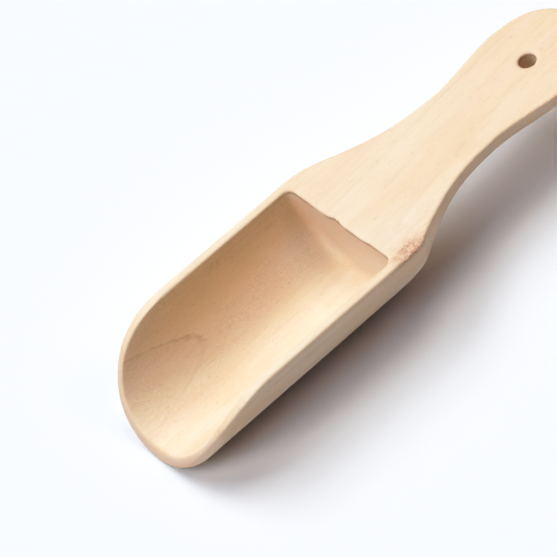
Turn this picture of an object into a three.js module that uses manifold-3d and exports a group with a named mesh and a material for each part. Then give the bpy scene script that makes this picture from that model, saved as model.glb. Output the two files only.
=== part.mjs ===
// Small scoop carved from one piece of pale wood: a half-round trough with a shovel nose, shoulders
// that sweep into a flat-topped handle, and a hole in the handle to hang it by.
// Millimetres. X runs from the lip to the handle's end and Z is up. The scoop stands on z = 0.

import * as THREE from 'three';
import { mergeVertices } from 'three/addons/utils/BufferGeometryUtils.js';
import Module from 'manifold-3d';

// Whole scoop: rim and handle share one flat top
const LENGTH = 100;
const HEIGHT = 13.6;
const EDGE_RADIUS = 0.25;

// Bowl: outer trough and nose, with eases as shares of the nose's and the rim's own spans
const BOWL_WIDTH = 30;
const BASE_FLAT_WIDTH = 5;
const NOSE_LENGTH = 15.5;
const NOSE_SIDE_EASE = 0.92;
const NOSE_TIP_EASE = 0.46;
const RIM_FALL_LENGTH = 18.7;
const RIM_EASE = 0.68;
const LIP_EASE = 0.1;

// Bowl: hollow and the walls left round it, with its length measured from the lip along the rim
const RIM_WIDTH = 2;
const HOLLOW_LENGTH = 45.9;
const FLOOR_THICKNESS = 2.2;
const BACK_WALL_THICKNESS = 4;
const BACK_WALL_LEAN = THREE.MathUtils.degToRad(8);
const HOLLOW_FILLET = 1.4;

// Shoulders: outline from the hollow's back edge to the neck, with eases as shares of that span
const SHOULDER_EASE = 0.3;
const NECK_EASE = 0.6;

// Handle: places are measured back from its end
const NECK_WIDTH = 15.6;
const NECK_FROM_END = 26;
const PADDLE_WIDTH = 19.3;
const PADDLE_FROM_END = 12;
const PADDLE_EASE = 0.28;
const END_FULLNESS = 0.66;
const END_ROUND_LENGTH = 3.3;
const HANDLE_THICKNESS = 4.6;
const HOLE_DIAMETER = 2.95;
const HOLE_FROM_END = 11.85;
const HOLE_OFF_CENTRE = 0.25;

// Underside: sweep behind the back wall, from the bowl's depth up to the handle's thickness
const SWEEP_LENGTH = 17.8;
const SWEEP_START_EASE = 0.3;
const SWEEP_END_EASE = 0.98;

// Section below the top: an ellipse in the bowl, growing squarer from the sweep to the handle
const ELLIPSE_POWER = 2;
const HANDLE_POWER = 4;
const SQUARING_LENGTH = 12;

// Facets
const OUTLINE_STEPS = 18;
const UNDERSIDE_STEPS = 40;
const CORNER_STEPS = 3;
const PROFILE_STEPS = 24;
const HOLE_STEPS = 30;
const SWEEP_STEPS = 200;

// How far cutting shapes reach past the wood
const OVERREACH = 2;

const bowlHalf = BOWL_WIDTH / 2;
const sweepAt = HOLLOW_LENGTH + BACK_WALL_THICKNESS;

const wasm = await Module();
wasm.setup();

function solid(geometry) {
  const bare = geometry.clone();
  bare.deleteAttribute('normal');
  bare.deleteAttribute('uv');
  const merged = mergeVertices(bare);
  const vertProperties = new Float32Array(merged.attributes.position.array);
  const triVerts = new Uint32Array(merged.index.array);
  return new wasm.Manifold(new wasm.Mesh({ numProp: 3, vertProperties, triVerts }));
}

function geometryOf(manifold) {
  const { vertProperties, triVerts } = manifold.getMesh();
  const geometry = new THREE.BufferGeometry();
  geometry.setAttribute('position', new THREE.BufferAttribute(vertProperties, 3));
  geometry.setIndex(new THREE.BufferAttribute(triVerts, 1));
  geometry.computeVertexNormals();
  return geometry;
}

// Half outline seen from above, from the shoulder round to the tip of the handle
function halfOutline() {
  const neckAt = LENGTH - NECK_FROM_END;
  const paddleAt = LENGTH - PADDLE_FROM_END;
  const shoulderSpan = neckAt - HOLLOW_LENGTH;
  const paddleSpan = paddleAt - neckAt;
  const neckHalf = NECK_WIDTH / 2;
  const paddleHalf = PADDLE_WIDTH / 2;
  const outline = new THREE.Path();
  outline.moveTo(HOLLOW_LENGTH, bowlHalf);
  outline.bezierCurveTo(
    HOLLOW_LENGTH + SHOULDER_EASE * shoulderSpan, bowlHalf,
    neckAt - NECK_EASE * shoulderSpan, neckHalf,
    neckAt, neckHalf,
  );
  outline.bezierCurveTo(
    neckAt + PADDLE_EASE * paddleSpan, neckHalf,
    paddleAt - PADDLE_EASE * paddleSpan, paddleHalf,
    paddleAt, paddleHalf,
  );
  outline.bezierCurveTo(
    paddleAt + END_FULLNESS * PADDLE_FROM_END, paddleHalf,
    LENGTH, END_FULLNESS * paddleHalf,
    LENGTH, 0,
  );
  return outline.getPoints(OUTLINE_STEPS);
}

// Depth of the underside below the flat top, along the centre line
function undersideLine() {
  const flatShare = BASE_FLAT_WIDTH / BOWL_WIDTH;
  const bowlDepth = HEIGHT / Math.sqrt(1 - flatShare ** 2);
  const sweepEnd = sweepAt + SWEEP_LENGTH;
  const roundAt = LENGTH - END_ROUND_LENGTH;
  const line = new THREE.Path();
  line.moveTo(-OVERREACH, bowlDepth);
  line.lineTo(sweepAt, bowlDepth);
  line.bezierCurveTo(
    sweepAt + SWEEP_START_EASE * SWEEP_LENGTH, bowlDepth,
    sweepEnd - SWEEP_END_EASE * SWEEP_LENGTH, HANDLE_THICKNESS,
    sweepEnd, HANDLE_THICKNESS,
  );
  line.lineTo(roundAt, HANDLE_THICKNESS);
  line.absellipse(
    roundAt, EDGE_RADIUS, END_ROUND_LENGTH, HANDLE_THICKNESS - EDGE_RADIUS, Math.PI / 2, 0, true,
  );
  return line.getPoints(SWEEP_STEPS);
}

const underside = undersideLine();

function depthAt(x) {
  const next = Math.max(1, underside.findIndex((point) => point.x >= x));
  const from = underside[next - 1];
  const to = underside[next];
  return THREE.MathUtils.mapLinear(x, from.x, to.x, from.y, to.y);
}

// Top of a section: level, and rounded down over the edge radius at the handle's tip
function topAt(x) {
  const intoEdge = Math.max(0, EDGE_RADIUS - (LENGTH - x));
  return HEIGHT - EDGE_RADIUS + Math.sqrt(EDGE_RADIUS ** 2 - intoEdge ** 2);
}

// One D-shaped section: flat top, rounded top corners and an underside between ellipse and box
function section(x, halfWidth) {
  const top = topAt(x);
  const bottom = HEIGHT - depthAt(x);
  const corner = Math.min(EDGE_RADIUS, halfWidth / 2, (top - bottom) / 2);
  const squaring = THREE.MathUtils.smoothstep(x, sweepAt, sweepAt + SQUARING_LENGTH);
  const bend = 2 / THREE.MathUtils.lerp(ELLIPSE_POWER, HANDLE_POWER, squaring);
  const side = top - corner;
  const ring = [];
  for (let i = 0; i < CORNER_STEPS; i++) {
    const turn = (i / CORNER_STEPS) * (Math.PI / 2);
    ring.push([halfWidth - corner + corner * Math.sin(turn), side + corner * Math.cos(turn)]);
  }
  for (let i = 0; i <= UNDERSIDE_STEPS; i++) {
    const turn = (i / UNDERSIDE_STEPS) * Math.PI;
    const across = Math.sign(Math.cos(turn)) * Math.abs(Math.cos(turn)) ** bend;
    ring.push([halfWidth * across, side - (side - bottom) * Math.sin(turn) ** bend]);
  }
  for (let i = CORNER_STEPS - 1; i >= 0; i--) {
    const [y, z] = ring[i];
    ring.push([-y, z]);
  }
  return ring.map(([y, z]) => [x, y, z]);
}

// Skin over the sections, closed flat at the lip's side and to a point at the handle's tip
function loft(sections, tip) {
  const count = sections[0].length;
  const last = sections.length - 1;
  const positions = [...sections.flat(2), ...tip];
  const tipIndex = sections.length * count;
  const index = [];
  for (let i = 1; i < count - 1; i++) {
    index.push(0, i, i + 1);
  }
  for (let i = 0; i < count; i++) {
    const j = (i + 1) % count;
    for (let row = 0; row < last; row++) {
      const near = row * count;
      const far = near + count;
      index.push(near + i, far + i, far + j, near + i, far + j, near + j);
    }
    index.push(last * count + i, tipIndex, last * count + j);
  }
  const geometry = new THREE.BufferGeometry();
  geometry.setAttribute('position', new THREE.Float32BufferAttribute(positions, 3));
  geometry.setIndex(index);
  return geometry;
}

// Bowl, shoulders and handle before the nose is cut
function blank() {
  const outline = halfOutline();
  const tip = outline.pop();
  const sections = outline.map((point) => section(point.x, point.y));
  sections.unshift(section(-OVERREACH, bowlHalf));
  return loft(sections, [tip.x, tip.y, HEIGHT - EDGE_RADIUS]);
}

// Upright prism that rounds the nose in plan and clears everything behind it
function nosePrism() {
  const easeEnd = NOSE_LENGTH * (1 - NOSE_SIDE_EASE);
  const tipHalf = NOSE_TIP_EASE * bowlHalf;
  const plan = new THREE.Shape();
  plan.moveTo(LENGTH + OVERREACH, -bowlHalf - OVERREACH);
  plan.lineTo(LENGTH + OVERREACH, bowlHalf + OVERREACH);
  plan.lineTo(NOSE_LENGTH, bowlHalf);
  plan.bezierCurveTo(easeEnd, bowlHalf, 0, tipHalf, 0, 0);
  plan.bezierCurveTo(0, -tipHalf, easeEnd, -bowlHalf, NOSE_LENGTH, -bowlHalf);
  plan.closePath();
  const prism = new THREE.ExtrudeGeometry(plan, {
    depth: HEIGHT + 2 * OVERREACH,
    bevelEnabled: false,
    curveSegments: PROFILE_STEPS,
  });
  return prism.translate(0, 0, -OVERREACH);
}

// Prism across the scoop that drops the rim to the lip and flattens the base
function rimPrism() {
  const side = new THREE.Shape();
  side.moveTo(LENGTH + OVERREACH, 0);
  side.lineTo(LENGTH + OVERREACH, HEIGHT + OVERREACH);
  side.lineTo(RIM_FALL_LENGTH, HEIGHT);
  side.bezierCurveTo(RIM_FALL_LENGTH * (1 - RIM_EASE), HEIGHT, 0, LIP_EASE * HEIGHT, 0, 0);
  side.closePath();
  const prism = new THREE.ExtrudeGeometry(side, {
    depth: BOWL_WIDTH + 2 * OVERREACH,
    bevelEnabled: false,
    curveSegments: PROFILE_STEPS,
  });
  return prism.rotateX(Math.PI / 2).translate(0, bowlHalf + OVERREACH, 0);
}

// Trough gouged along the bowl: open at the lip, with a filleted back wall that leans forward
function hollowCutter() {
  const half = bowlHalf - RIM_WIDTH;
  const profile = new THREE.Shape();
  profile.moveTo(half, HEIGHT + OVERREACH + HOLLOW_FILLET);
  profile.lineTo(-half, HEIGHT + OVERREACH + HOLLOW_FILLET);
  profile.lineTo(-half, HEIGHT);
  profile.absellipse(0, HEIGHT, half, HEIGHT - FLOOR_THICKNESS, Math.PI, Math.PI * 2, false);
  profile.closePath();
  const cutter = new THREE.ExtrudeGeometry(profile, {
    depth: HOLLOW_LENGTH + OVERREACH - 2 * HOLLOW_FILLET,
    curveSegments: PROFILE_STEPS,
    bevelThickness: HOLLOW_FILLET,
    bevelSize: HOLLOW_FILLET,
    bevelOffset: -HOLLOW_FILLET,
    bevelSegments: CORNER_STEPS,
  });
  const across = new THREE.Vector3(0, 1, 0);
  const up = new THREE.Vector3(0, 0, 1);
  const along = new THREE.Vector3(1, 0, 0);
  const lean = Math.tan(BACK_WALL_LEAN);
  return cutter
    .applyMatrix4(new THREE.Matrix4().makeBasis(across, up, along))
    .translate(HOLLOW_FILLET - OVERREACH, 0, -HEIGHT)
    .applyMatrix4(new THREE.Matrix4().makeShear(0, 0, 0, 0, lean, 0))
    .translate(0, 0, HEIGHT);
}

function holeCutter() {
  const cutter = new THREE.CylinderGeometry(
    HOLE_DIAMETER / 2, HOLE_DIAMETER / 2, HANDLE_THICKNESS + 2 * OVERREACH, HOLE_STEPS,
  );
  return cutter
    .rotateX(Math.PI / 2)
    .translate(LENGTH - HOLE_FROM_END, HOLE_OFF_CENTRE, HEIGHT - HANDLE_THICKNESS / 2);
}

function scoop() {
  const carved = solid(blank())
    .intersect(solid(nosePrism()))
    .intersect(solid(rimPrism()))
    .subtract(solid(hollowCutter()))
    .subtract(solid(holeCutter()));
  const wood = new THREE.MeshStandardMaterial({ color: 0xe6cba5, roughness: 0.6, metalness: 0 });
  const mesh = new THREE.Mesh(geometryOf(carved), wood);
  mesh.name = 'scoop';
  mesh.position.x = -LENGTH / 2;
  return mesh;
}

const group = new THREE.Group();
group.add(scoop());

export default group;
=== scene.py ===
from math import pi, radians

import bmesh
import bpy
from mathutils import Matrix, Vector, noise


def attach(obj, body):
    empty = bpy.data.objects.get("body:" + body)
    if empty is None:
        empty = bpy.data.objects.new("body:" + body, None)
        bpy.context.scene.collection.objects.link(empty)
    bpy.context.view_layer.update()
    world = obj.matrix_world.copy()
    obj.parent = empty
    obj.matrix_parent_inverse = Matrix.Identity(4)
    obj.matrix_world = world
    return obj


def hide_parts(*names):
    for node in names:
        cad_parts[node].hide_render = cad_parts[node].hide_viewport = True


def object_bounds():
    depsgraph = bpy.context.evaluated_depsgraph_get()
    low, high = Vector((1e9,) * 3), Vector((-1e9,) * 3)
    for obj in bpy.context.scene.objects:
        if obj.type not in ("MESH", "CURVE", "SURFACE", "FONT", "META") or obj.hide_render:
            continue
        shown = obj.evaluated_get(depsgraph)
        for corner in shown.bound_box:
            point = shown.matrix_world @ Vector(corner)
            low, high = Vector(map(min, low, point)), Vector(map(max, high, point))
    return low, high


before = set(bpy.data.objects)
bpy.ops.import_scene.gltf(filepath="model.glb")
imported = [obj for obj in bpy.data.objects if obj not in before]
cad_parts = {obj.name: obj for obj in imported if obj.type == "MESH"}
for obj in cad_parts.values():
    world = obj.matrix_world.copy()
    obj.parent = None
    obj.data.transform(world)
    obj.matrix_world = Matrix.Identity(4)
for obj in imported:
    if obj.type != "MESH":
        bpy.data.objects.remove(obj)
cad_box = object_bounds()


# The scoop: one piece of pale close-grained wood. It is sawn to outline, gouged hollow at the front,
# shaved thin along the underside of the handle, bored through for hanging and sanded by hand,
# which leaves crisp but blunted edges, and a lip that is rounded off underneath.
MM = 0.001
scene = bpy.context.scene
top = cad_box[1][2]

MERGE = 0.002 * MM
carving = bmesh.new()
carving.from_mesh(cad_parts["scoop"].data)
bmesh.ops.remove_doubles(carving, verts=carving.verts, dist=MERGE)
rough_mesh = bpy.data.meshes.new("scoop_blank")
carving.to_mesh(rough_mesh)
carving.free()

# An even skin of small faces over the sawn shape, so that sanding can round the edges.
SKIN = 0.29 * MM
blank = bpy.data.objects.new("scoop_blank", rough_mesh)
scene.collection.objects.link(blank)
skin = blank.modifiers.new("skin", "REMESH")
skin.mode = "VOXEL"
skin.voxel_size = SKIN
even = bpy.data.meshes.new_from_object(blank.evaluated_get(bpy.context.evaluated_depsgraph_get()))
bpy.data.objects.remove(blank)
bpy.data.meshes.remove(rough_mesh)

sanding = bmesh.new()
sanding.from_mesh(even)
worn = sanding.verts.layers.float.new("worn")

# The handle keeps a little more width than the sawn shape and is shaved thinner underneath,
# and the near shoulder keeps more of its corner.
HANDLE_FROM = -2 * MM
HANDLE_FULL = 12 * MM
FULLER = 0.25 * MM
FULLER_FROM = 2 * MM
FULLER_FULL = 6 * MM
SHAVED_FROM = 3 * MM
SHAVED_FULL = 14 * MM
THINNER = 0.12
NEAR_CORNER = {-3: 0, -1: 0.34, 1: 0.7, 2: 0.7, 3: 0.48, 4.5: 0.28, 8: 0.24, 12: 0.08, 16: 0}
CORNER_FROM = 4 * MM
CORNER_FULL = 9 * MM
CORNER_FOOT = 3 * MM
CORNER_HEAD = 12 * MM


def share_past(value, low, high):
    """A soft step: 0 up to low, 1 from high on."""
    share = min(max((value - low) / (high - low), 0), 1)
    return share * share * (3 - 2 * share)


def shift_at(place, shifts):
    """The shift at a place, eased between the stops of a table of place and shift in millimetres."""
    stops = list(shifts.items())
    for (here, shift), (there, next_shift) in zip(stops, stops[1:]):
        if here <= place / MM < there:
            return MM * (shift + (next_shift - shift) * share_past(place / MM, here, there))
    return 0


for v in sanding.verts:
    fuller = FULLER * share_past(v.co.x, HANDLE_FROM, HANDLE_FULL)
    fuller *= share_past(abs(v.co.y), FULLER_FROM, FULLER_FULL)
    if v.co.y < 0:
        corner = share_past(-v.co.y, CORNER_FROM, CORNER_FULL)
        corner *= share_past(v.co.z, CORNER_FOOT, CORNER_HEAD)
        fuller += corner * shift_at(v.co.x, NEAR_CORNER)
    v.co.y += fuller if v.co.y > 0 else -fuller
    v.co.z = top - (top - v.co.z) * (1 - THINNER * share_past(v.co.x, SHAVED_FROM, SHAVED_FULL))

# The hollow's back wall is pared upright. Its top edge was cut by eye: it wanders, and jumps a little
# near its middle.
HOLLOW_HALF = 13.2 * MM
HOLLOW_DEEP = 11.6 * MM
PARED_FROM = -13 * MM
PARED_FULL = -7.5 * MM
PARED_TO = -3.5 * MM
PARED = 0.13
BACK_EDGE = -4.1 * MM
BACK_NEAR = 0.8 * MM
BACK_FAR = 2.8 * MM
BACK_FOOT = 6 * MM
BACK_HEAD = 12 * MM
BACK_WANDER = {
    -14: 0, -12: 0.2, -8: 0.2, -5: -0.06, -0.4: -0.05, 1.7: 0.15, 3.4: -0.2, 12: -0.26, 14: 0
}


def in_hollow(v):
    across = v.co.y / HOLLOW_HALF
    down = (top - v.co.z) / HOLLOW_DEEP
    return across ** 2 + down ** 2 < 1 and v.co.x < PARED_TO


for v in sanding.verts:
    if in_hollow(v):
        v.co.x += PARED * (top - v.co.z) * share_past(v.co.x, PARED_FROM, PARED_FULL)
    reach = 1 - share_past(abs(v.co.x - BACK_EDGE), BACK_NEAR, BACK_FAR)
    reach *= share_past(v.co.z, BACK_FOOT, BACK_HEAD)
    v.co.x += reach * shift_at(v.co.y, BACK_WANDER)

# Sanding: many strokes on broad faces, a few on edges, more where the lip is rounded underneath.
EDGE_TURN = radians(16)
EDGE_RINGS = 3
BROAD_STROKES = 40
EDGE_STROKES = 2
LIP_STROKES = 26
LIP_STARTS = 4.5 * MM
LIP_FULL = 1.5 * MM
CREASE_STROKES = 22
CREASE_FROM = -8.5 * MM
CREASE_BELOW = 12.4 * MM
TAKEN_A_STROKE = 0.5
sanding.normal_update()
edge_zone = {
    v
    for e in sanding.edges
    if e.is_convex and e.calc_face_angle(0) > EDGE_TURN
    for v in e.verts
}
for _ in range(EDGE_RINGS):
    edge_zone |= {e.other_vert(v) for v in list(edge_zone) for e in v.link_edges}


def sanding_strokes(v):
    """How often the paper passes over a point. It reaches badly into the crease behind the hollow."""
    if v not in edge_zone:
        crease = in_hollow(v) and v.co.x > CREASE_FROM and v.co.z < CREASE_BELOW
        return CREASE_STROKES if crease else BROAD_STROKES
    down_lip = (LIP_STARTS - v.co.z) / (LIP_STARTS - LIP_FULL)
    return EDGE_STROKES + round((LIP_STROKES - EDGE_STROKES) * min(max(down_lip, 0), 1))


before = {v: v.co.copy() for v in sanding.verts}
strokes = {v: sanding_strokes(v) for v in sanding.verts}
for stroke in range(max(strokes.values())):
    reached = [v for v in sanding.verts if strokes[v] > stroke]
    bmesh.ops.smooth_vert(
        sanding, verts=reached, factor=TAKEN_A_STROKE, use_axis_x=True, use_axis_y=True, use_axis_z=True
    )
for v in sanding.verts:
    v[worn] = (v.co - before[v]).length / MM

# Hand work is a little uneven, and the saw tore the grain at the near shoulder and behind the hollow.
HAND_WAVE = 0.09 * MM
HAND_SPAN = 9 * MM
HAND_CLEAR = 1.5 * MM
SHOULDER_TEAR = {"at": (-0.6, -13.9, 13.4), "turn": 9, "reach": (4.8, 1.7, 1.0), "bite": 0.2}
HOLLOW_TEAR = {"at": (-3.9, 0.6, 13.5), "turn": 90, "reach": (2.2, 0.7, 0.8), "bite": 0.36}
TEAR_GRAIN = Vector((1.3, 4.2, 4.2))
TEAR_SHARE = 0.25
sanding.normal_update()
for v in sanding.verts:
    wave = 0.5 + 0.5 * noise.noise(v.co / HAND_SPAN)
    depth = HAND_WAVE * wave * min(v.co.z / HAND_CLEAR, 1)
    for tear in (SHOULDER_TEAR, HOLLOW_TEAR):
        away = Matrix.Rotation(-radians(tear["turn"]), 3, "Z") @ (v.co / MM - Vector(tear["at"]))
        out = Vector(a / r for a, r in zip(away, tear["reach"])).length
        if out < 1:
            torn = max(noise.noise(v.co / MM * TEAR_GRAIN) + TEAR_SHARE, 0)
            depth += tear["bite"] * MM * (1 - out) * torn
    v.co -= v.normal * depth
for f in sanding.faces:
    f.smooth = True
sanding.to_mesh(even)
sanding.free()
even.name = "carved_scoop"
scoop = bpy.data.objects.new("carved_scoop", even)
scene.collection.objects.link(scoop)

wood = bpy.data.materials.new("pale_wood")
wood.use_nodes = True
tree = wood.node_tree
finish = tree.nodes["Principled BSDF"]

# Sockets of a colour Mix node: the colour below, the colour laid over it, and the outcome.
MIX_UNDER = 6
MIX_OVER = 7
MIX_OUT = 2
GRAIN_ROUGHNESS = 0.55


def put(kind, sockets=None, **settings):
    """One node of the wood: its settings, then its sockets, each a value or another node's socket."""
    made = tree.nodes.new(kind)
    for name, value in settings.items():
        setattr(made, name, value)
    for name, value in (sockets or {}).items():
        if isinstance(value, bpy.types.NodeSocket):
            tree.links.new(value, made.inputs[name])
        else:
            made.inputs[name].default_value = value
    return made


def reckon(operation, first, second=0.0):
    return put("ShaderNodeMath", {0: first, 1: second}, operation=operation).outputs[0]


def times(first, second):
    return reckon("MULTIPLY", first, second)


def ease(value, low, high):
    """A soft step: 0 up to low, 1 from high on, or the other way round where low is the higher."""
    return put(
        "ShaderNodeMapRange",
        {"Value": value, "From Min": low, "From Max": high},
        interpolation_type="SMOOTHSTEP",
    ).outputs[0]


def tint(amount, under, over):
    colours = {0: amount, MIX_UNDER: under, MIX_OVER: over}
    return put("ShaderNodeMix", colours, data_type="RGBA").outputs[MIX_OUT]


def streaks(along, across, detail, seat):
    """Noise drawn out along the grain, with so many changes a millimetre along and across it."""
    laid = put(
        "ShaderNodeMapping",
        {"Vector": in_log, "Location": (seat, seat, seat), "Scale": (along, across, across)},
    )
    sockets = {"Vector": laid.outputs[0], "Scale": 1.0, "Detail": detail, "Roughness": GRAIN_ROUGHNESS}
    return put("ShaderNodeTexNoise", sockets).outputs[0]


def about(at, reach, turn=0):
    """Places round a point, counted in reaches: 1 is as far out as the mark goes. In millimetres."""
    return put(
        "ShaderNodeMapping",
        {
            "Vector": spot.outputs["Object"],
            "Location": tuple(c * MM for c in at),
            "Rotation": (0, 0, radians(turn)),
            "Scale": tuple(c * MM for c in reach),
        },
        vector_type="TEXTURE",
    ).outputs[0]


def length(vector):
    return put("ShaderNodeVectorMath", {0: vector}, operation="LENGTH").outputs["Value"]


def only(vector, axes):
    return put("ShaderNodeVectorMath", {0: vector, 1: axes}, operation="MULTIPLY").outputs[0]


# Places in the log, in millimetres from the tree's heart: X runs along the grain, Y and Z across it.
HEART = (0, 13.91, -35.5)
GRAIN_DIP = radians(-3.15)
GRAIN_SKEW = radians(-2.29)
spot = put("ShaderNodeTexCoord")
in_log = put(
    "ShaderNodeMapping",
    {
        "Vector": spot.outputs["Object"],
        "Location": HEART,
        "Rotation": (0, GRAIN_DIP, GRAIN_SKEW),
        "Scale": (1 / MM, 1 / MM, 1 / MM),
    },
).outputs[0]
along = put("ShaderNodeSeparateXYZ", {0: in_log}).outputs["X"]
up = put("ShaderNodeSeparateXYZ", {0: spot.outputs["Object"]}).outputs["Z"]
facing = put("ShaderNodeSeparateXYZ", {0: spot.outputs["Normal"]})

# Broad changes of colour along the grain. The wood is warmer towards the end of the handle.
PALE = (0.85, 0.705, 0.542, 1)
WARM = (0.825, 0.64, 0.455, 1)
PINK = (0.83, 0.635, 0.505, 1)
BROAD_GRAIN = {"along": 0.035, "across": 0.16, "detail": 2.0, "seat": 3.7}
WARM_SHOWS = (0.36, 0.7)
HANDLE_WARMS = (-5.0, 40.0)
HANDLE_WARMTH = 0.7
PINK_GRAIN = {"along": 0.02, "across": 0.32, "detail": 2.0, "seat": 11.2}
PINK_SHOWS = (0.5, 0.72)
PINK_SHARE = 0.55
broad = streaks(**BROAD_GRAIN)
warmth = reckon("ADD", ease(broad, *WARM_SHOWS), times(ease(along, *HANDLE_WARMS), HANDLE_WARMTH))
colour = tint(reckon("MINIMUM", warmth, 1.0), PALE, WARM)
colour = tint(times(ease(streaks(**PINK_GRAIN), *PINK_SHOWS), PINK_SHARE), colour, PINK)

# Greyer sapwood crosses the near shoulder and the hollow's near wall and corner. On the lit near wall
# the greyer, paler patch is also painted sheen.
# The hollow's shaded far wall is painted warmer and redder, as painted warm shade from light bounced
# inside the hollow. It is paler towards the back.
STREAKS_AND_PAINTED_LIGHT = (
    {"at": (0, -9, 9), "reach": (13, 8, 9), "share": 0.6, "colour": (0.84, 0.725, 0.62, 1)},
    # This patch is sapwood and also painted sheen on the hollow's lit near wall.
    {"at": (-22, -6.5, 6), "reach": (26, 8, 8), "share": 0.65, "colour": (0.825, 0.70, 0.605, 1)},
    # This patch is painted warm shade on the hollow's shaded far wall.
    {"at": (-25, 12, 7.5), "reach": (25, 8, 7), "share": 0.85, "colour": (0.885, 0.66, 0.43, 1)},
    {"at": (-9, 8.5, 4), "reach": (8, 6, 6), "share": 0.5, "colour": (0.87, 0.75, 0.60, 1)},
    {"at": (-5, -7, 6), "reach": (5.5, 8.5, 6.5), "share": 0.65, "colour": (0.82, 0.73, 0.665, 1)},
)
STREAK_FADES = (1.1, 0.2)
STREAK_RAGGED = 0.8
ragged = times(reckon("SUBTRACT", broad, 0.5), STREAK_RAGGED)
for streak in STREAKS_AND_PAINTED_LIGHT:
    streak_out = reckon("ADD", length(about(streak["at"], streak["reach"])), ragged)
    colour = tint(times(ease(streak_out, *STREAK_FADES), streak["share"]), colour, streak["colour"])

# Growth rings, by their distance from the tree's heart: each starts in a thin dark line and fades out.
# One strong ring runs out as a V in the hollow. Rings show less on the low parts.
YEAR_DARK = (0.585, 0.40, 0.25, 1)
YEARS = {22.6: 0.2, 25.4: 0.15, 28.3: 0.22, 31.4: 0.13, 34.3: 0.2, 37.1: 0.16}
YEAR_SHAPE = ((-0.12, 0.0), (0.0, 1.0), (0.24, 0.4), (1.0, 0.0))
HEART_SIDE = 20.0
BARK_SIDE = 50.0
STRONG_YEAR = 40.0
STRONG_STARTS = (-0.06, 0.0)
STRONG_LINE_ENDS = (0.12, 0.0)
STRONG_LINE_SHARE = 0.62
STRONG_TAIL_ENDS = (0.6, 0.0)
STRONG_TAIL_SHARE = 0.17
WAVER_GRAIN = {"along": 0.55, "across": 1.1, "detail": 3.0, "seat": 8.6}
WAVER = 0.2
FAINT_GRAIN = {"along": 0.3, "across": 0.5, "detail": 2.0, "seat": 1.9}
FAINT_SHOWS = (0.35, 0.65)
FAINT_LEAST = 0.3
FAINT_VARIES = 0.6
LOW_FADES = (3.6 * MM, 5.6 * MM)
LOW_LEAST = 0.35
radius = length(only(in_log, (0, 1, 1)))
radius = reckon("ADD", radius, times(reckon("SUBTRACT", streaks(**WAVER_GRAIN), 0.5), WAVER))
years = put(
    "ShaderNodeValToRGB",
    {"Fac": reckon("DIVIDE", reckon("SUBTRACT", radius, HEART_SIDE), BARK_SIDE - HEART_SIDE)},
)
for stop in years.color_ramp.elements:
    stop.color = (0, 0, 0, 1)
for year, depth in YEARS.items():
    for after, share in YEAR_SHAPE:
        stop = years.color_ramp.elements.new((year + after - HEART_SIDE) / (BARK_SIDE - HEART_SIDE))
        stop.color = (share * depth, share * depth, share * depth, 1)
past = reckon("SUBTRACT", radius, STRONG_YEAR)
strong_starts = ease(past, *STRONG_STARTS)
strong_line = times(times(strong_starts, ease(past, *STRONG_LINE_ENDS)), STRONG_LINE_SHARE)
strong_tail = times(times(strong_starts, ease(past, *STRONG_TAIL_ENDS)), STRONG_TAIL_SHARE)
strong = reckon("MAXIMUM", strong_line, strong_tail)
faint = reckon("ADD", times(ease(streaks(**FAINT_GRAIN), *FAINT_SHOWS), FAINT_VARIES), FAINT_LEAST)
faint = times(faint, reckon("ADD", times(ease(up, *LOW_FADES), 1 - LOW_LEAST), LOW_LEAST))
colour = tint(times(reckon("MAXIMUM", years.outputs[0], strong), faint), colour, YEAR_DARK)

# Fibres and the short dark dashes of cut pores.
FIBRE_DARK = (0.70, 0.525, 0.36, 1)
FIBRE_GRAIN = {"along": 0.06, "across": 2.4, "detail": 3.0, "seat": 2.3}
FIBRE_SHOWS = (0.46, 0.72)
FIBRE_SHARE = 0.17
THREAD_GRAIN = {"along": 0.3, "across": 6.5, "detail": 2.0, "seat": 7.7}
THREAD_SHOWS = (0.5, 0.74)
THREAD_SHARE = 0.18
PORE_DARK = (0.60, 0.42, 0.27, 1)
PORES_A_MM = (0.55, 3.6, 3.6)
PORE_EDGE = (0.30, 0.08)
PORE_GRAIN = {"along": 0.2, "across": 1.1, "detail": 2.0, "seat": 4.4}
PORE_SHOWS = (0.42, 0.62)
PORE_SHARE = 0.42
fibres = streaks(**FIBRE_GRAIN)
threads = streaks(**THREAD_GRAIN)
colour = tint(times(ease(fibres, *FIBRE_SHOWS), FIBRE_SHARE), colour, FIBRE_DARK)
colour = tint(times(ease(threads, *THREAD_SHOWS), THREAD_SHARE), colour, FIBRE_DARK)
pore_places = put("ShaderNodeMapping", {"Vector": in_log, "Scale": PORES_A_MM}).outputs[0]
pore_cells = put("ShaderNodeTexVoronoi", {"Vector": pore_places, "Scale": 1.0}).outputs["Distance"]
pores = times(ease(pore_cells, *PORE_EDGE), ease(streaks(**PORE_GRAIN), *PORE_SHOWS))
colour = tint(times(pores, PORE_SHARE), colour, PORE_DARK)

# The gouge leaves the hollow a little fuzzy: fine dark and light specks.
FUZZ_LIGHT = (0.90, 0.77, 0.62, 1)
GOUGED_BELOW = (13.2 * MM, 12.4 * MM)
GOUGED_FACES_UP = (-0.1, 0.15)
FUZZ_GRAIN = {"along": 2.2, "across": 3.6, "detail": 2.0, "seat": 3.1}
FUZZ_PATCHES = {"along": 0.12, "across": 0.25, "detail": 2.0, "seat": 6.8}
FUZZ_PATCH_SHOWS = (0.38, 0.6)
FUZZ_DARK_SHOWS = (0.54, 0.7)
FUZZ_DARK_SHARE = 0.42
FUZZ_LIGHT_SHOWS = (0.45, 0.3)
FUZZ_LIGHT_SHARE = 0.4
gouged = times(ease(up, *GOUGED_BELOW), ease(facing.outputs["Z"], *GOUGED_FACES_UP))
fuzz = streaks(**FUZZ_GRAIN)
fuzzy = times(gouged, ease(streaks(**FUZZ_PATCHES), *FUZZ_PATCH_SHOWS))
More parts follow.
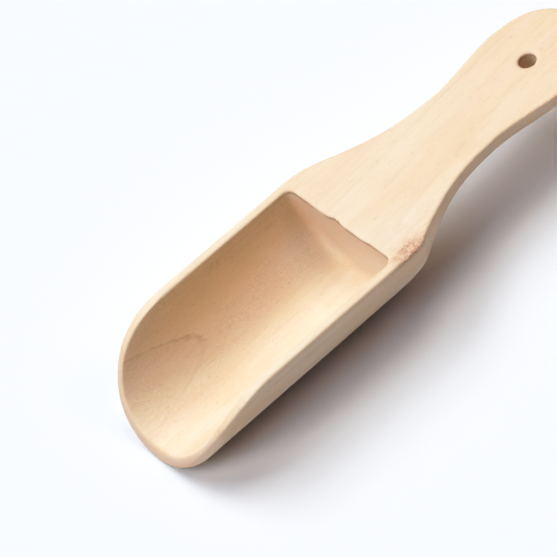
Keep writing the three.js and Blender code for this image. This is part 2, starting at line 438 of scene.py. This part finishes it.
colour = tint(times(times(ease(fuzz, *FUZZ_DARK_SHOWS), fuzzy), FUZZ_DARK_SHARE), colour, FIBRE_DARK)
colour = tint(times(times(ease(fuzz, *FUZZ_LIGHT_SHOWS), fuzzy), FUZZ_LIGHT_SHARE), colour, FUZZ_LIGHT)

# End grain drinks the light: it is redder and darker where the knife cut across the fibres.
BACK_WALL_GRAIN = (0.75, 0.62, 0.53, 1)
LIP_GRAIN = (0.71, 0.525, 0.42, 1)
CUT_ACROSS = (0.42, 0.98)
LIP_COMES = (-26.0, -40.0)
BACK_WALL_SHARE = 0.5
LIP_ADDS = 0.38
across_grain = ease(reckon("ABSOLUTE", facing.outputs["X"]), *CUT_ACROSS)
at_lip = ease(along, *LIP_COMES)
end_grain = tint(at_lip, BACK_WALL_GRAIN, LIP_GRAIN)
end_share = reckon("ADD", times(at_lip, LIP_ADDS), BACK_WALL_SHARE)
colour = tint(times(across_grain, end_share), colour, end_grain)

# A thin broken brown line just under the hollow's back edge, on the faces turned to the lip: painted
# shade under that edge.
EDGE_SHADE_BROWN = (0.47, 0.30, 0.18, 1)
EDGE_SHADE_FOOT = (12.75 * MM, 13.15 * MM)
EDGE_SHADE_HEAD = (13.48 * MM, 13.3 * MM)
EDGE_SHADE_FACES_LIP = (-0.25, -0.7)
EDGE_SHADE_COMES = (-20.0, -12.0)
EDGE_SHADE_PATCHES = {"along": 0.2, "across": 0.3, "detail": 2.0, "seat": 5.5}
EDGE_SHADE_PATCH_SHOWS = (0.3, 0.62)
EDGE_SHADE_SHARE = 0.65
under_edge = times(ease(up, *EDGE_SHADE_FOOT), ease(up, *EDGE_SHADE_HEAD))
painted_edge_shade = times(under_edge, ease(facing.outputs["X"], *EDGE_SHADE_FACES_LIP))
painted_edge_shade = times(painted_edge_shade, ease(along, *EDGE_SHADE_COMES))
painted_edge_shade = times(painted_edge_shade, ease(streaks(**EDGE_SHADE_PATCHES), *EDGE_SHADE_PATCH_SHOWS))
colour = tint(times(painted_edge_shade, EDGE_SHADE_SHARE), colour, EDGE_SHADE_BROWN)

# Edges are burnished warm by handling, where sanding took the most off.
BURNISHED = (0.80, 0.545, 0.345, 1)
WEAR_SHOWS = (0.03, 0.13)
RUB_PATCHES = {"along": 0.25, "across": 0.25, "detail": 2.0, "seat": 6.3}
RUB_PATCH_SHOWS = (0.3, 0.62)
RUB_SHARE = 0.42
wear = put("ShaderNodeAttribute", attribute_name="worn").outputs["Fac"]
rubbed = times(ease(wear, *WEAR_SHOWS), ease(streaks(**RUB_PATCHES), *RUB_PATCH_SHOWS))
colour = tint(times(rubbed, RUB_SHARE), colour, BURNISHED)

# Torn grain at the near shoulder, where the saw broke out: a red flush, dark strokes and pale
# lifted hairs.
TORN_FLUSH = (0.72, 0.455, 0.33, 1)
TORN_RED = (0.52, 0.27, 0.155, 1)
TORN_HAIR = (0.92, 0.80, 0.66, 1)
TORN_REACH = (5.2, 3.0, 0.8)
TORN_EDGE_GRAIN = {"along": 0.5, "across": 1.4, "detail": 2.0, "seat": 9.5}
TORN_RAGGED = 0.7
TORN_CORE = (1.3, 0.6)
TORN_FLUSH_FADES = (1.45, 0.65)
TORN_FLUSH_SHARE = 0.62
TORN_STROKE_GRAIN = {"along": 1.6, "across": 4.2, "detail": 3.0, "seat": 0.8}
TORN_STROKE_SHOWS = (0.46, 0.6)
TORN_STROKE_SHARE = 0.55
TORN_HAIR_GRAIN = {"along": 1.3, "across": 3.8, "detail": 3.0, "seat": 4.9}
TORN_HAIR_SHOWS = (0.52, 0.64)
TORN_HAIR_SHARE = 0.55
tear_out = length(about(SHOULDER_TEAR["at"], TORN_REACH, SHOULDER_TEAR["turn"]))
tear_out = reckon("ADD", tear_out, times(streaks(**TORN_EDGE_GRAIN), TORN_RAGGED))
torn_core = ease(tear_out, *TORN_CORE)
torn_strokes = times(ease(streaks(**TORN_STROKE_GRAIN), *TORN_STROKE_SHOWS), torn_core)
torn_hairs = times(ease(streaks(**TORN_HAIR_GRAIN), *TORN_HAIR_SHOWS), torn_core)
colour = tint(times(ease(tear_out, *TORN_FLUSH_FADES), TORN_FLUSH_SHARE), colour, TORN_FLUSH)
colour = tint(times(torn_strokes, TORN_STROKE_SHARE), colour, TORN_RED)
colour = tint(times(torn_hairs, TORN_HAIR_SHARE), colour, TORN_HAIR)

# The bore's walls are painted darker brown: painted shade down the bore.
BORE_SHADE_BROWN = (0.50, 0.425, 0.315, 1)
BORE_AT = (38.15, 0.25, 0)
BORE_REACH = (1.62, 1.62, 13.45)
BORE_WALL = (1.06, 0.98)
BORE_MOUTH = (1.0, 0.985)
BORE_SHADE_SHARE = 0.42
bore_place = about(BORE_AT, BORE_REACH)
bore_out = length(only(bore_place, (1, 1, 0)))
bore_up = put("ShaderNodeSeparateXYZ", {0: bore_place}).outputs["Z"]
bored = times(ease(bore_out, *BORE_WALL), ease(bore_up, *BORE_MOUTH))
colour = tint(times(bored, BORE_SHADE_SHARE), colour, BORE_SHADE_BROWN)
tree.links.new(colour, finish.inputs["Base Color"])

# Sanded wood is matt: duller along fibres and on end grain, smoother where it is rubbed.
MATT = 0.4
FIBRE_MATT = 0.2
END_MATT = 0.1
RUBBED_SMOOTH = 0.06
GLOSS = 0.45
roughness = reckon("ADD", times(fibres, FIBRE_MATT), MATT)
roughness = reckon("ADD", roughness, times(across_grain, END_MATT))
roughness = reckon("SUBTRACT", roughness, times(rubbed, RUBBED_SMOOTH))
tree.links.new(roughness, finish.inputs["Roughness"])
finish.inputs["Specular IOR Level"].default_value = GLOSS

# Fibres stand up a little, and pores and torn strokes go in.
FIBRE_RISE = 0.5
THREAD_RISE = 0.5
FUZZ_RISE = 0.6
PORE_DIP = 0.5
TORN_DIP = 1.2
RELIEF_STRENGTH = 0.6
RELIEF_DEPTH = 0.06 * MM
height = reckon("ADD", times(fibres, FIBRE_RISE), times(threads, THREAD_RISE))
height = reckon("SUBTRACT", height, times(pores, PORE_DIP))
height = reckon("SUBTRACT", height, times(torn_strokes, TORN_DIP))
height = reckon("ADD", height, times(times(fuzz, fuzzy), FUZZ_RISE))
relief = put(
    "ShaderNodeBump", {"Strength": RELIEF_STRENGTH, "Distance": RELIEF_DEPTH, "Height": height}
)
tree.links.new(relief.outputs[0], finish.inputs["Normal"])

even.materials.append(wood)
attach(scoop, "root")
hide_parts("scoop")


# The floor: a plain sheet of white studio paper that lies flat just under the scoop's base. It is not
# fixed to anything, and it is wide enough to reach the horizon in every view.
FLOOR_REACH = 6.0
FLOOR_SIDES = 64
FLOOR_DROP = 0.02 * MM
PAPER_WHITE = (0.862, 0.884, 0.915, 1)
PAPER_MATT = 0.9
sheet = bmesh.new()
bmesh.ops.create_circle(sheet, cap_ends=True, radius=FLOOR_REACH, segments=FLOOR_SIDES)
bmesh.ops.translate(sheet, verts=sheet.verts, vec=(0, 0, -FLOOR_DROP))
floor_mesh = bpy.data.meshes.new("studio_floor")
sheet.to_mesh(floor_mesh)
sheet.free()
floor = bpy.data.objects.new("studio_floor", floor_mesh)
scene.collection.objects.link(floor)
paper = bpy.data.materials.new("white_paper")
paper.use_nodes = True
paper_face = paper.node_tree.nodes["Principled BSDF"]
paper_face.inputs["Base Color"].default_value = PAPER_WHITE
paper_face.inputs["Roughness"].default_value = PAPER_MATT
floor_mesh.materials.append(paper)


# The light: a bank of soft lamps over the scoop, the strongest on the far side, with a faint warm
# return from the near side and a dim pale room. The picture is printed with a firm contrast, so
# that shade comes out deep and warm.
LAMPS = {
    "far_lamp": {"towards": (0.12, 0.73, 0.67), "strength": 1.36, "colour": (0.88, 0.935, 1)},
    "far_top_lamp": {"towards": (-0.1, 0.52, 0.85), "strength": 0.73, "colour": (0.93, 0.96, 1)},
    "handle_lamp": {"towards": (0.46, 0.26, 0.85), "strength": 0.6, "colour": (1, 1, 0.92)},
    "lip_lamp": {"towards": (-0.89, 0.11, 0.44), "strength": 0.77, "colour": (0.98, 0.99, 1)},
    "lip_top_lamp": {"towards": (-0.53, 0.06, 0.85), "strength": 0.57, "colour": (1, 0.98, 0.91)},
    "near_top_lamp": {"towards": (-0.46, -0.26, 0.85), "strength": 0.44, "colour": (0.74, 0.79, 0.92)},
    "near_return": {"towards": (0.58, -0.47, 0.67), "strength": 0.39, "colour": (1, 0.66, 0.5)},
}
LAMP_WIDTH = radians(26)
for name, lamp in LAMPS.items():
    lamp_data = bpy.data.lights.new(name, "SUN")
    lamp_data.energy = lamp["strength"]
    lamp_data.color = lamp["colour"]
    lamp_data.angle = LAMP_WIDTH
    stand = bpy.data.objects.new(name, lamp_data)
    stand.rotation_euler = Vector(lamp["towards"]).to_track_quat("Z", "Y").to_euler()
    scene.collection.objects.link(stand)

ROOM_LIGHT = (0.04, 0.047, 0.064, 1)
BACKDROP = (0.97, 0.97, 0.97, 1)
room = bpy.data.worlds.new("pale_room")
room.use_nodes = True
walls = room.node_tree.nodes["Background"]
seen = room.node_tree.nodes.new("ShaderNodeLightPath")
glow = room.node_tree.nodes.new("ShaderNodeMix")
glow.data_type = "RGBA"
glow.inputs[MIX_UNDER].default_value = ROOM_LIGHT
glow.inputs[MIX_OVER].default_value = BACKDROP
room.node_tree.links.new(seen.outputs["Is Camera Ray"], glow.inputs[0])
room.node_tree.links.new(glow.outputs[MIX_OUT], walls.inputs["Color"])
walls.inputs["Strength"].default_value = 1
scene.world = room

CONTRAST = ((0.13, 0.058), (0.28, 0.195), (0.45, 0.378), (0.62, 0.611), (0.88, 0.9025))
ALL_COLOURS = 3
scene.view_settings.view_transform = "Standard"
scene.view_settings.use_curve_mapping = True
contrast = scene.view_settings.curve_mapping
for given, printed in CONTRAST:
    contrast.curves[ALL_COLOURS].points.new(given, printed)
contrast.update()


# The camera: a long lens well back, looking down on the bowl's near side and rolled to set the scoop
# across the frame.
AIM = Vector((-15.435, 5.681, 6.8)) * MM
AZIMUTH = radians(-20.8556)
ELEVATION = radians(46.7118)
ROLL = radians(-25.3646)
DISTANCE = 649.3 * MM
LENS = 258.53
SENSOR_WIDTH = 36
camera_data = bpy.data.cameras.new("camera")
camera_data.lens = LENS
camera_data.sensor_width = SENSOR_WIDTH
camera = bpy.data.objects.new("camera", camera_data)
camera.matrix_world = (
    Matrix.Translation(AIM)
    @ Matrix.Rotation(AZIMUTH, 4, "Z")
    @ Matrix.Rotation(pi / 2 - ELEVATION, 4, "X")
    @ Matrix.Rotation(ROLL, 4, "Z")
    @ Matrix.Translation((0, 0, DISTANCE))
)
scene.collection.objects.link(camera)
scene.camera = camera
